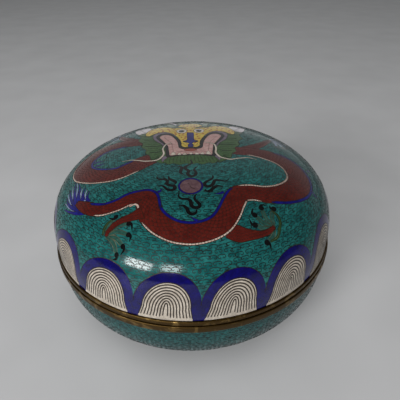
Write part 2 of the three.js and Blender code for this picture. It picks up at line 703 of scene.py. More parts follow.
@dataclass(frozen=True)
class Coil:
    """One visible stretch of the dragon's body.

    Attributes:
        spine: Rows of u, v and half the width, in mm, from head to tail.
        edges: Strips along it: side (1 is left), first and last spine point, colour, width.
        spurs: Small fins: rows of root u, v and tip u, v.
        hook: Curled end of a belly strip: rows of u, v and half the width, or nothing.
    """

    spine: tuple[tuple[float, float, float], ...]
    edges: tuple[tuple[int, float, float, Enamel, float], ...]
    spurs: tuple[tuple[float, float, float, float], ...] = ()
    hook: tuple[tuple[float, float, float], ...] = ()

    def stretch(self, side: int, first: float, last: float, inset: float) -> Points:
        """Follow one edge between two spine points.

        Args:
            side: 1 for the left edge, -1 for the right one.
            first: Number of the spine point to start at; it may be a fraction.
            last: Number of the one to end at.
            inset: How far inside the edge, in mm.

        Returns:
            The line.
        """
        fine = smooth(self.spine, step=0.5)
        marks = smooth([(*p[:2], i) for i, p in enumerate(self.spine)], step=0.5)[:, 2]
        keep = (marks >= first) & (marks <= last)
        return (fine[:, :2] + side_of(fine) * side * (fine[:, 2:3] - inset))[keep]

    def draw(self, picture: Picture) -> None:
        """Lay the body, its scales, and then its edge strips.

        Args:
            picture: The picture to lay it in.
        """
        picture.fill(stroke(self.spine), Enamel.BODY)
        self.draw_scales(picture)
        for side, first, last, enamel, width in self.edges:
            middle = self.stretch(side, first, last, width / 2)
            halves = np.full(len(middle), width / 2)
            halves[:6] *= np.linspace(0.3, 1, 6)
            halves[-6:] *= np.linspace(1, 0.3, 6)
            away = side_of(middle) * halves[:, None]
            picture.fill(np.vstack([middle + away, (middle - away)[::-1]]), enamel, THIN_WIRE)
            if enamel is Enamel.BELLY:
                for i in range(4, len(middle) - 4, 3):
                    across = np.stack([middle[i] - away[i], middle[i], middle[i] + away[i]])
                    picture.line(across, HAIR_WIRE, WireSet.SCALE)
        if self.hook:
            picture.fill(stroke(self.hook, 0.4, True), Enamel.BELLY, HAIR_WIRE)
        for root_u, root_v, tip_u, tip_v in self.spurs:
            bend = ((root_u + tip_u) / 2 + 0.5, (root_v + tip_v) / 2 - 0.5)
            fin = [(root_u, root_v, 1.1), (*bend, 0.7), (tip_u, tip_v, 0.15)]
            picture.fill(stroke(fin, 0.5), Enamel.DORSAL, HAIR_WIRE)

    def draw_scales(self, picture: Picture, pitch: float = 2.5) -> None:
        """Lay rows of small arched scale wires across the body.

        Args:
            picture: The picture to lay them in.
            pitch: Distance between scales, in mm.
        """
        fine = smooth(self.spine, step=pitch)
        side = side_of(fine)
        ahead = np.stack([side[:, 1], -side[:, 0]], 1)
        turn = np.linspace(0, math.pi, 6)
        for row, (spot, left, onward) in enumerate(zip(fine, side, ahead)):
            room = spot[2] - 1.6
            across = np.arange(-room + (row % 2) * pitch / 2, room, pitch)
            for offset in across:
                arc_left = np.cos(turn)[:, None] * pitch * 0.5
                arc_on = np.sin(turn)[:, None] * pitch * 0.75
                arc = spot[:2] + left * (offset + arc_left) + onward * arc_on
                picture.line(arc, HAIR_WIRE, WireSet.SCALE)


@dataclass(frozen=True)
class Leg:
    """A leg with a clawed paw.

    Attributes:
        limb: Rows of u, v and half the width, in mm, from the body to the wrist.
        talons: Each claw: its ball's u, v and its tip's u, v.
        back: Rows of u, v and half the width of the dark band behind the paw, or nothing.
        ball: Radius of the claws' round roots.
        palm: Colour between the toes.
    """

    limb: tuple[tuple[float, float, float], ...]
    talons: tuple[tuple[float, float, float, float], ...]
    back: tuple[tuple[float, float, float], ...] = ()
    ball: float = 1.75
    palm: Enamel = Enamel.PAW

    def draw(self, picture: Picture) -> None:
        """Lay toes, claws and limb.

        Args:
            picture: The picture to lay it in.
        """
        wrist = np.array(self.limb[-1][:2])
        for ball_u, ball_v, _, _ in self.talons:
            ball = np.array([ball_u, ball_v])
            bend = (wrist + ball) / 2 + 0.14 * np.array([wrist[1] - ball_v, ball_u - wrist[0]])
            outline = stroke([(*wrist, 0.5), (*bend, 1.15), (*ball, 0.9)], 0.5)
            picture.fill(outline, self.palm, 0)
            picture.line(np.vstack([outline, outline[:1]]), 0.36, WireSet.PAW)
        if self.back:
            picture.fill(stroke(self.back, 0.5, True), Enamel.MANE_DARK, 0.2)
            picture.line(smooth(np.array(self.back)[:, :2], step=0.5), 0.3, WireSet.PAW)
        for ball_u, ball_v, tip_u, tip_v in self.talons:
            ball, tip = np.array([ball_u, ball_v]), np.array([tip_u, tip_v])
            way = (tip - ball) / (np.linalg.norm(tip - ball) + 1e-9)
            side = np.array([-way[1], way[0]])
            horn = [(*(ball + side * 0.7), 0.9), (*(ball + way * 1.7 + side * 1.2), 0.75), (*tip, 0.15)]
            picture.fill(oval(ball_u, ball_v, self.ball, self.ball, 20), Enamel.BLACK, 0)
            picture.fill(stroke(horn, 0.5), Enamel.BLACK, 0)
        picture.fill(stroke(self.limb), Enamel.BODY)
        for u, v, half in smooth(self.limb, step=2.2)[1:-1]:
            turn = np.linspace(0, math.pi, 5)
            for offset in np.arange(-half + 1.0, half - 0.6, 1.7):
                arc = np.stack([u + 0.8 * np.cos(turn), v + offset + 0.9 * np.sin(turn)], 1)
                picture.line(arc, HAIR_WIRE, WireSet.SCALE)


@dataclass(frozen=True)
class Pearl:
    """The flaming pearl that the dragon coils round."""

    centre: tuple[float, float] = (-0.7, -45.5)
    radius: float = 6.3
    ring: float = 1.1
    flames: tuple[tuple[tuple[float, float], ...], ...] = (
        ((0, 29), (1, 26.3), (0.9, 24), (-1.2, 22), (-3.1, 20), (-2.8, 17.6), (-1, 15.2), (-1.6, 12.2),
         (-0.4, 9.8), (1.4, 9.4), (3.1, 10.8), (3.6, 13.2), (2.5, 16), (3, 18.2), (4.9, 20.2)),
        ((-3.7, 11.3), (-5.7, 13), (-5.9, 15.4), (-5.3, 18), (-5.6, 20), (-7.9, 21.4)),
        ((-20.4, 11.2), (-19.9, 9), (-18, 7.5), (-15.6, 7.4), (-13.8, 5.6), (-14.1, 3.2), (-12.4, 1.4),
         (-9.8, 0.6), (-9.2, -1.8), (-11.2, -3.1), (-13.6, -2.2), (-15.3, 0), (-17, 1.5), (-20.6, 1.6)),
        ((-9.4, 1.8), (-8.8, 3.8), (-10.2, 5.6), (-12.6, 7.6), (-13.2, 10.6)),
        ((13.3, 10.3), (13.6, 8), (12.2, 5.8), (9.8, 4), (8.3, 2), (8.8, -0.2), (11, -0.6), (13, 1.2),
         (14, 3.8), (15, 5.2), (18, 5), (20.8, 4.4), (23.3, 6.6)),
        ((8.2, -3.2), (9.6, -5), (11.8, -4), (13.8, -1.4), (16.2, -0.2), (19.2, -1.1)),
        ((-6.9, -6.3), (-6.9, -8.8), (-5.2, -10.6), (-2, -11), (-0.3, -12.6), (0.1, -15.6), (1.8, -17.4),
         (4, -17.3), (4.8, -15.4), (3.4, -13.2), (2.1, -11), (2.3, -8.8), (3.4, -7.2)),
        ((-6.9, -15.4), (-4.2, -15.9), (-2.4, -18), (-1.5, -20.6), (0.6, -21.9), (2.6, -20.8), (2.9, -18.8)),
    )

    def draw(self, picture: Picture) -> None:
        """Lay the flames, which swell in the middle and thin out at their tips, and the pearl.

        Args:
            picture: The picture to lay it in.
        """
        for flame in self.flames:
            line = np.array(flame) + self.centre
            share = np.linspace(0, 1, len(line))
            half = 0.3 + 0.85 * np.sin(math.pi * share) ** 0.7
            picture.fill(stroke(np.column_stack([line, half]), 0.5), Enamel.BLACK, 0)
        around = self.radius + self.ring
        picture.fill(oval(*self.centre, around, around, 44), Enamel.DORSAL, 0.3)
        picture.fill(oval(*self.centre, self.radius, self.radius, 40), Enamel.PEARL, FINE_WIRE)
        swirl = np.array([(-1.6, 2.6), (-0.4, 1.2), (-0.2, -0.6), (1.3, -2.2), (2.8, -3)]) + self.centre
        picture.line(smooth(swirl), 0.3)


@dataclass(frozen=True)
class TailFin:
    """The fan of flame-like strands at the dragon's tail."""

    strands: tuple[tuple[tuple[float, float], ...], ...] = (
        ((-64.5, -53.4), (-71, -51.2), (-78, -46.8), (-84.3, -41)),
        ((-69, -49.5), (-75.5, -45), (-80.5, -38.6), (-83.2, -31.6)),
        ((-71, -46.5), (-76, -40.5), (-79, -34), (-80.8, -26.6)),
        ((-72, -44), (-74.8, -37.5), (-76, -30), (-77, -21)),
        ((-71, -42.5), (-71.9, -36.5), (-71.9, -31), (-73.4, -25.5)),
        ((-67.5, -43.5), (-68.3, -38), (-67.6, -32)),
        ((-63, -46.5), (-64.6, -42), (-63.6, -37)),
    )

    def draw(self, picture: Picture) -> None:
        """Lay pale strands between the dark ones, then the dark ones over them.

        Args:
            picture: The picture to lay it in.
        """
        for one, two in zip(self.strands[:-1], self.strands[1:]):
            count = min(len(one), len(two))
            middle = (np.array(one[:count]) + np.array(two[:count])) / 2
            half = np.linspace(1.2, 0.3, count)
            picture.fill(stroke(np.column_stack([middle, half])), Enamel.MIST, 0.2)
        for strand in self.strands:
            half = np.linspace(1.7, 0.25, len(strand))
            picture.fill(stroke(np.column_stack([np.array(strand), half])), Enamel.DORSAL, HAIR_WIRE)


@dataclass(frozen=True)
class Head:
    """The dragon's face, seen from the front, with ears, horns, mane and whiskers."""

    eye: tuple[float, float] = (6.5, 31.6)
    jaw: tuple[tuple[float, float], ...] = (
        (0, -10.3), (7.5, -10.6), (15.4, -12.2), (16.7, -6), (17.2, 0), (18, 6), (20.4, 10.6),
        (23, 15.6), (24.8, 20.6), (23.8, 25.4), (20.6, 28), (16.4, 27.6), (13, 24.4), (10.6, 19.6),
        (7, 14), (6, 9), (5.6, 4.6), (4, 3), (0, 2.8),
    )
    lips: tuple[tuple[float, float], ...] = (
        (0, -8.6), (7.4, -8.9), (13.5, -10.1), (14.6, -5), (15.2, 0), (15.9, 5), (18.4, 10.8),
        (20.9, 16.4), (22.4, 20.4), (21.4, 23.4), (19.2, 24.9), (16.2, 24.4), (13.4, 21.4), (11.3, 16.8),
        (9.5, 11.6), (8.6, 6), (8, 1.4), (5.4, -0.8), (0, -1.3),
    )
    cheek: tuple[tuple[float, float], ...] = (
        (17.4, 2), (20.6, 8.4), (24.4, 13.4), (27, 19.6), (27.2, 26), (23.4, 30.4), (17.4, 30.6),
        (12.6, 27.6), (10.4, 23), (14, 12),
    )
    face: tuple[tuple[float, float], ...] = (
        (0, 2.4), (3.4, 2.3), (6, 4.2), (6.5, 8), (7.3, 13), (9.4, 18.8), (11.8, 24.2), (14.8, 28.2),
        (18.8, 31), (23.4, 30.8), (26.8, 28.6), (30.2, 25), (32.8, 26.4), (33.4, 31.6), (31.2, 38.6),
        (26.8, 43.4), (21, 44.4), (15.6, 41.8), (11.6, 38.8), (9.6, 42.6), (8.4, 47), (5.8, 50), (0, 51),
    )
    nose: tuple[tuple[float, float], ...] = (
        (0, 1.8), (1.7, 2.6), (1.8, 5.6), (1.1, 7.4), (2, 9.2), (4.2, 9.6), (5.4, 11), (4.4, 12.6),
        (2.5, 14.4), (2.5, 26), (1.8, 27.6), (0, 28),
    )
    ear: tuple[tuple[float, float], ...] = (
        (29.6, 36.6), (33.6, 27.8), (37.6, 29.6), (41, 34.6), (43.2, 43.5), (39, 48.4), (32.4, 47.6),
    )
    mane: tuple[tuple[float, float], ...] = (
        (13, -13), (17.4, -20), (22.4, -17.4), (26, -14.4), (27.4, -9), (30.6, -4.6), (30.4, 0.6), (34, 5.4),
        (34, 11.4), (37.6, 17.6), (36.2, 23.6), (38.6, 30.6), (28, 31), (20, 8),
    )
    whiskers: tuple[tuple[tuple[float, float], ...], ...] = (
        ((-13, 9.4), (-16.7, 8.1), (-19, 1), (-18.1, -7.3), (-20.3, -13.3), (-23.6, -15.6), (-29.9, -15.4),
         (-34.8, -13.5), (-40.1, -12), (-45.6, -12.4)),
        ((9.4, 9.8), (13.8, 7.8), (16.6, 5), (17.2, -1.3), (16.6, -7.1), (18.7, -12.6), (21.5, -14.9),
         (25.9, -16.3), (31.1, -14.6), (38.1, -13.3), (43, -15)),
    )
    horn: tuple[tuple[float, float, float], ...] = (
        (10, 50, 2.4), (15, 58, 2.2), (23, 64, 1.9), (29, 71, 1.4), (31, 80, 0.5),
    )
    tufts: int = 7
    freckles: int = 92

    def draw(self, picture: Picture) -> None:
        """Lay the head from what is behind to what is in front.

        Args:
            picture: The picture to lay it in.
        """
        self.draw_crown(picture)
        self.draw_mane(picture)
        self.draw_mouth(picture)
        self.draw_face(picture)
        self.draw_nose(picture)
        for side in (1, -1):
            self.draw_eye(picture, side)
        for whisker in self.whiskers:
            half = 0.3 + 0.45 * np.sin(np.linspace(0.2, math.pi, len(whisker)))
            picture.fill(stroke(np.column_stack([whisker, half]), 0.5), Enamel.WHITE, FINE_WIRE)

    def draw_crown(self, picture: Picture) -> None:
        """Lay horns, flames of hair behind the brow, and ears.

        Args:
            picture: The picture to lay it in.
        """
        for side in (1, -1):
            picture.fill(stroke(flip(self.horn, side)), Enamel.EAR)
            spur = [(23, 64, 1.5), (30, 62.5, 1.0), (36, 64, 0.3)]
            picture.fill(stroke(flip(spur, side)), Enamel.EAR)
        for i in range(-self.tufts, self.tufts + 1):
            lean = i / self.tufts
            root = (24 * lean, 40 - 4 * abs(lean))
            tip = (38 * lean + 3 * math.sin(5 * lean), 63 - 10 * abs(lean) + 4 * (i % 2))
            bend = ((root[0] + tip[0]) / 2 + 2.2 * (-1) ** i, (root[1] + tip[1]) / 2)
            hair = [(*root, 2.9), (*bend, 2.2), (*tip, 0.25)]
            picture.fill(stroke(hair), Enamel.MANE if i % 2 else Enamel.MANE_DARK, THIN_WIRE)
        for side in (1, -1):
            picture.fill(smooth(flip(self.ear, side), closed=True), Enamel.EAR)
            fold = [(33, 33), (36, 38), (39.4, 45)]
            picture.line(smooth(flip(fold, side)), THIN_WIRE)

    def draw_mane(self, picture: Picture) -> None:
        """Lay the green mane on both cheeks and under the chin, with its strands.

        Args:
            picture: The picture to lay it in.
        """
        for side in (1, -1):
            picture.fill(smooth(flip(self.mane, side), closed=True), Enamel.MANE)
            for i in range(15):
                share = i / 14
                root = (22 - 3.5 * math.sin(math.pi * share), 26 - 40 * share)
                tip = (37 - 13 * share + 1.4 * (i % 2), 31 - 49 * share)
                bend = ((root[0] + tip[0]) / 2, (root[1] + tip[1]) / 2 - 1.2)
                strand = [(*root, 0.6), (*bend, 0.55), (*tip, 0.15)]
                if i % 3 == 1:
                    picture.fill(stroke(flip(strand, side)), Enamel.MANE_DARK, HAIR_WIRE)
                else:
                    picture.line(smooth(flip([p[:2] for p in strand], side)), FINE_WIRE)
        chin = [
            (0, -22.6), (3.6, -21.4), (7.4, -22.8), (11, -20.8), (14.6, -21.4),
            (18.6, -17), (17, -10), (0, -6),
        ]
        picture.fill(mirrored(chin), Enamel.MANE)
        for i in range(-7, 8):
            strand = [(2.1 * i, -11), (2.3 * i, -15.4), (2.4 * i + 0.6, -20)]
            picture.line(smooth(strand), FINE_WIRE)

    def draw_mouth(self, picture: Picture) -> None:
        """Lay cheeks, the black edge of the open mouth, lips, tongue, gums and teeth.

        Args:
            picture: The picture to lay it in.
        """
        for side in (1, -1):
            picture.fill(smooth(flip(self.cheek, side), closed=True), Enamel.LILAC)
            barb = [(16.4, -11, 1.6), (18, -14.6, 1.2), (18.4, -18, 0.25)]
            picture.fill(stroke(flip(barb, side)), Enamel.LILAC, HAIR_WIRE)
        picture.fill(mirrored(self.jaw), Enamel.BLACK, HAIR_WIRE)
        picture.fill(mirrored(self.lips), Enamel.LIPS, HAIR_WIRE)
        picture.fill(oval(-0.2, -2.4, 4.4, 2.2), Enamel.TONGUE, FINE_WIRE)
        for side in (1, -1):
            gum = [(12.6, -8.6), (11, -6.2), (7.6, -4.6), (4, -5), (1, -6.8)]
            picture.line(smooth(flip(gum, side)), 0.3)
            fold = [(15.6, 6.4), (13.4, 7.6), (10.8, 7.4)]
            picture.line(smooth(flip(fold, side)), FINE_WIRE)
            crease = [(19, 20.4), (16.8, 15.4), (13.6, 9.4), (12.4, 1), (11.6, -5)]
            picture.line(smooth(flip(crease, side)), HAIR_WIRE)
            for u, half, tall in ((4, 1.4, 2.3), (7.6, 1.3, 2.5), (11.7, 1.55, 4.2)):
                tooth = [(u - half, -9.2), (u - half * 0.8, -9.2 + tall * 0.6), (u, -9.2 + tall),
                         (u + half * 0.8, -9.2 + tall * 0.6), (u + half, -9.3), (u, -9.5)]
                picture.fill(smooth(flip(tooth, side), closed=True, step=0.5), Enamel.WHITE, 0.2)
        picture.fill(oval(0, -8, 1.3, 1.2, 14), Enamel.WHITE, 0.2)

    def draw_face(self, picture: Picture) -> None:
        """Lay the yellow face with its freckles and brows.

        Args:
            picture: The picture to lay it in.
        """
        face = mirrored(self.face)
        picture.fill(face, Enamel.YELLOW, 0.4)
        rng = np.random.default_rng(SEED)
        laid: list[np.ndarray] = []
        for spot in rng.uniform((-33, 5), (33, 55), (2400, 2)):
            clear = all(np.hypot(*(spot - other)) > 2.3 for other in laid)
            if clear and inside(oval(*spot, 1.3, 1.3, 8), face).all():
                laid.append(spot)
            if len(laid) == self.freckles:
                break
        for spot in laid:
            size = rng.uniform(0.65, 1.0)
            picture.fill(oval(*spot, size, size * 1.2, 9), Enamel.AMBER, 0)
        for side in (1, -1):
            brow = [(3.4, 37.6, 0.3), (6.4, 39.8, 1.3), (10.4, 40.8, 1.5), (14.4, 39.6, 0.4)]
            picture.fill(stroke(flip(brow, side)), Enamel.MANE_DARK, FINE_WIRE)

    def draw_nose(self, picture: Picture) -> None:
        """Lay the blue ridge of the nose and the nostrils.

        Args:
            picture: The picture to lay it in.
        """
        for side in (1, -1):
            wing = [(1.2, 2.6, 0.5), (3.8, 3, 1.1), (5.4, 5.2, 1.1), (5.6, 8.2, 0.6)]
            picture.fill(stroke(flip(wing, side), 0.5), Enamel.YELLOW, 0.3)
        picture.fill(mirrored(self.nose), Enamel.DORSAL, FINE_WIRE)
        for side in (1, -1):
            picture.fill(oval(4.0 * side, 11, 1.3, 0.95, 14), Enamel.BLACK, 0)
            picture.fill(oval(1.9 * side, 7.4, 0.9, 1.1, 14), Enamel.YELLOW, 0.16)

    def draw_eye(self, picture: Picture, side: int) -> None:
        """Lay one eye: rim, white and pupil.

        Args:
            picture: The picture to lay it in.
            side: 1 for the right eye, -1 for the left one.
        """
        u, v = self.eye
        picture.fill(oval(u * side, v, 4.1, 4.9), Enamel.BLACK, 0)
        picture.fill(oval(u * side, v, 3.75, 4.4), Enamel.WHITE, 0)
        picture.fill(oval(u * side, v - 0.2, 2.1, 2.6, 20), Enamel.BLACK, 0)
        picture.fill(oval((u + 0.7) * side, v + 0.7, 0.5, 0.6, 10), Enamel.MIST, 0)


NECK_COIL = Coil(
    spine=(
        (-22, 13, 5.6), (-36, 15, 6.2), (-49, 15.4, 6.6), (-60.5, 13.6, 7.2), (-70, 7.2, 7.8),
        (-75, -3, 8.3), (-73, -13, 8), (-66, -20.2, 7.6), (-56.5, -24.8, 7.5), (-47, -25.8, 7.4),
        (-38, -21.4, 7.5), (-30, -15.6, 7.2), (-22, -10.5, 6.2),
    ),
    edges=((-1, 2.6, 10.2, Enamel.BELLY, 1.2), (1, 1.6, 10.6, Enamel.DORSAL, 1.8)),
    spurs=((-66.4, -5, -58.5, -5.5), (-64.6, -10.5, -57, -9.4)),
)
MAIN_COIL = Coil(
    spine=(
        (18, -3, 4.8), (31, -4, 5.6), (42, -4.6, 6.2), (52, -7.2, 7.2), (61, -10.8, 8.4),
        (68, -17.6, 9.6), (70.6, -26.6, 10), (68.6, -35, 9.5), (62.6, -42, 8.6), (54, -47.2, 7.7),
        (44, -49.8, 6.9), (34, -49.8, 6.7), (27.2, -52.2, 6.9), (23.4, -58.6, 7), (20.4, -65.6, 7.1),
        (15.9, -72.5, 7.1), (9.4, -76.8, 6.9), (1.1, -78.8, 6.9), (-6, -78.3, 6.9), (-12.2, -76.1, 7),
        (-18.9, -71.2, 7.2), (-24, -63.8, 7.4), (-24.8, -58.4, 7.2), (-26.6, -53.2, 7.4),
        (-31.5, -51.8, 5.9), (-37, -52.4, 5.3), (-43, -54.8, 4.9),
        (-52, -55.6, 4.6), (-60, -52.8, 4.3), (-66.4, -48.2, 3.6), (-72.5, -42.6, 1.6),
    ),
    edges=(
        (-1, 1.5, 11.6, Enamel.BELLY, 1.3), (1, 3.2, 9.9, Enamel.DORSAL, 1.9),
        (-1, 11.9, 28.6, Enamel.DORSAL, 1.7), (1, 10.3, 20.7, Enamel.BELLY, 1.15),
        (1, 23.6, 27.6, Enamel.BELLY, 1.15),
    ),
    spurs=(
        (18.4, -51, 12.6, -52.4), (-20, -49.5, -17.6, -46.4), (2.6, -72, -1.4, -69),
        (78.6, -35, 83.4, -39.5), (80, -13, 84, -9),
    ),
    hook=((-35.6, -58, 0.5), (-33, -56.9, 0.6), (-31.2, -58.1, 0.7), (-30.6, -60, 0.6)),
)
LEGS = (
    Leg(
        limb=(
            (-28, -63.5, 4.2), (-34.6, -65.5, 2.6), (-39.6, -66.3, 2.0), (-44, -68, 1.75), (-48.2, -71, 1.4),
            (-50, -73.6, 1.1),
        ),
        talons=(
            (-43.6, -63.3, -48.4, -62.6), (-35.8, -69.4, -33.8, -74), (-36, -75.9, -35.6, -80),
            (-39.6, -81.8, -41.4, -86), (-44, -85.5, -47, -87.4),
        ),
        back=((-45.2, -64.4, 0.4), (-48.8, -66.2, 0.8), (-50.9, -69, 0.9), (-51.9, -72.2, 0.5)),
        ball=1.5,
    ),
    Leg(
        limb=(
            (19, -77, 4.6), (25, -78.8, 4.8), (31.4, -78.7, 3.2), (38, -77.6, 2.0), (43, -75.2, 1.6),
            (46.6, -71.8, 1.1),
        ),
        talons=(
            (47.2, -60.2, 44.8, -58.2), (39.4, -61, 42, -58.4), (34.9, -66.4, 34.4, -61.9),
            (34.7, -72.7, 31.4, -68.8), (41.7, -81.7, 44.8, -85.8),
        ),
        back=(
            (45.8, -61.9, 0.4), (48.8, -64, 0.8), (50.4, -67.5, 0.9), (49.8, -72.5, 0.9), (48.4, -77.4, 0.8),
            (44.4, -80.6, 0.6),
        ),
    ),
    Leg(
        limb=((37, -2, 4.4), (45, 4.4, 3.6), (51.4, 11, 2.8), (56, 17.4, 2.1), (59.6, 23, 1.2)),
        talons=(
            (62.4, 11.4, 63.4, 7.8), (67.6, 12.6, 69.6, 9.2), (72.4, 17, 75.2, 14.2),
            (72, 24, 75.6, 24.4), (66, 30, 68.2, 33.2),
        ),
        palm=Enamel.MIST,
    ),
    Leg(
        limb=((-40, 18, 4), (-47, 24.6, 3.2), (-51.6, 30.4, 2.4), (-53.4, 36.4, 1.2)),
        talons=(
            (-60.4, 27.4, -63.6, 25), (-64, 34.4, -67.6, 33.4), (-63, 42, -66, 44.2),
            (-56, 46.6, -57, 50.2), (-47.6, 44.6, -45.6, 47.8),
        ),
        palm=Enamel.MIST,
    ),
)


@dataclass(frozen=True)
class FretGround:
    """Rows of small curled wires that fill a ground of one colour.

    Attributes:
        pitch: Width of one curl's place, in mm.
        row: Distance between rows.
        width: Width of the wire.
        sway: How far a curl strays from its place, as a share of the pitch.
    """

    pitch: float = 5.0
    row: float = 3.0
    width: float = 0.4
    sway: float = 0.10
    curl: tuple[tuple[float, float], ...] = (
        (-0.12, -0.02), (-0.26, -0.2), (-0.43, -0.1), (-0.42, 0.22), (-0.18, 0.36), (0.2, 0.36),
        (0.45, 0.16), (0.4, -0.2), (0.22, -0.3), (0.16, -0.06),
    )

    def wires(self, wall: TurnedWall, first: float, last: float, seed: int) -> list[Points]:
        """Curls in rows between two ways from the crown.

        Args:
            wall: The wall that they lie on.
            first: Way from the crown to the first row, in mm.
            last: Way to the last row.
            seed: Seed of the small irregularities.

        Returns:
            The curls' middle lines, as drawn points.
        """
        rng = np.random.default_rng(seed)
        motif = smooth(self.curl, step=0.26)
        lines = []
        for number, way in enumerate(np.arange(first, last, self.row)):
            around = 2 * math.pi * float(wall.radius_at(way))
            count = max(3, round(around / self.pitch))
            for i in range(count):
                turn = (i + 0.5 * (number % 2)) / count * 2 * math.pi
                shift = rng.normal(0, self.sway, 4)
                swap = -1 if (i + number) % 2 else 1
                x = motif[:, 0] * swap * (1 + shift[0]) + shift[1]
                y = motif[:, 1] * (1 + shift[2]) + shift[3]
                lines.append(wall.at(way - y * self.row, turn + x * 2 * math.pi / count))
        return lines


# ---------------------------------------------------------------------------------------------
# Meshes
# ---------------------------------------------------------------------------------------------


def make_piece(
    name: str,
    corners: Points,
    faces: list | np.ndarray,
    materials: list[bpy.types.Material],
    slots: np.ndarray | None = None,
    loop_normals: Points | None = None,
    loop_uvs: Points | None = None,
) -> bpy.types.Object:
    """Make one mesh object.

    Args:
        name: The piece's name.
        corners: Its vertices, in metres.
        faces: Its faces, as lists of vertex numbers.
        materials: Its materials.
        slots: The material of each face.
        loop_normals: Shading normal of each face corner.
        loop_uvs: Place of each face corner on the piece's map.

    Returns:
        The object, linked to the scene.
    """
    mesh = bpy.data.meshes.new(name)
    mesh.from_pydata(corners.tolist(), [], [list(map(int, f)) for f in faces])
    for material in materials:
        mesh.materials.append(material)
    if slots is not None:
        mesh.polygons.foreach_set("material_index", np.asarray(slots, np.int32))
    if loop_uvs is not None:
        layer = mesh.uv_layers.new(name="OFBake")
        layer.data.foreach_set("uv", np.asarray(loop_uvs, np.float32).ravel())
    if loop_normals is not None:
        mesh.shade_smooth()
        mesh.normals_split_custom_set(loop_normals.tolist())
    mesh.validate(clean_customdata=False)
    mesh.update()
    piece = bpy.data.objects.new(name, mesh)
    bpy.context.scene.collection.objects.link(piece)
    return piece


def on_map(flat: Points, length: float) -> Points:
    """Place of drawn points on a piece's map, with the whole wall in the middle."""
    return 0.5 + flat / (MAP_MARGIN * length)


def wire_bars(
    name: str, runs: list[tuple[Points, float]], wall: TurnedWall, finish: bpy.types.Material
) -> bpy.types.Object:
    """Lay wires as one piece: bars with a flat top just proud of the wall and a foot in it.

    Args:
        name: The piece's name.
        runs: Middle lines, as drawn points, with their widths in mm.
        wall: The wall that they are let into.
        finish: Their material.

    Returns:
        The piece.
    """
    flats, lifts, faces, base = [], [], [], 0
    for line, width in runs:
        away = side_of(line) * width / 2
        count = len(line)
        flats.append(np.stack([line + away, line - away, line], 1).reshape(-1, 2))
        lifts.append(np.tile([WIRE_PROUD, WIRE_PROUD, -WIRE_ROOT], count))
        first = base + 3 * np.arange(count - 1)[:, None]
        for a, b in ((0, 1), (1, 2), (2, 0)):
            faces.append(np.hstack([first + b, first + a, first + 3 + a, first + 3 + b]))
        end = base + 3 * (count - 1)
        faces.append(np.array([[base, base + 1, base + 2, -1], [end, end + 2, end + 1, -1]]))
        base += 3 * count
    flat, lift = np.vstack(flats), np.concatenate(lifts)
    corners, _ = wall.place(flat, lift)
    table = np.vstack(faces)
    quads = [row[row >= 0][:: -wall.way] for row in table]  # a lid's plan is seen from outside
    loops = np.concatenate(quads)
    return make_piece(name, corners, quads, [finish], loop_uvs=on_map(flat, wall.length)[loops])


def lathe_rings(wall: TurnedWall, turns: np.ndarray, ways: np.ndarray) -> Points:
    """Drawn points of a grid on a wall, ring by ring from its edge towards its crown."""
    return np.vstack([wall.at(way, turns) for way in ways])


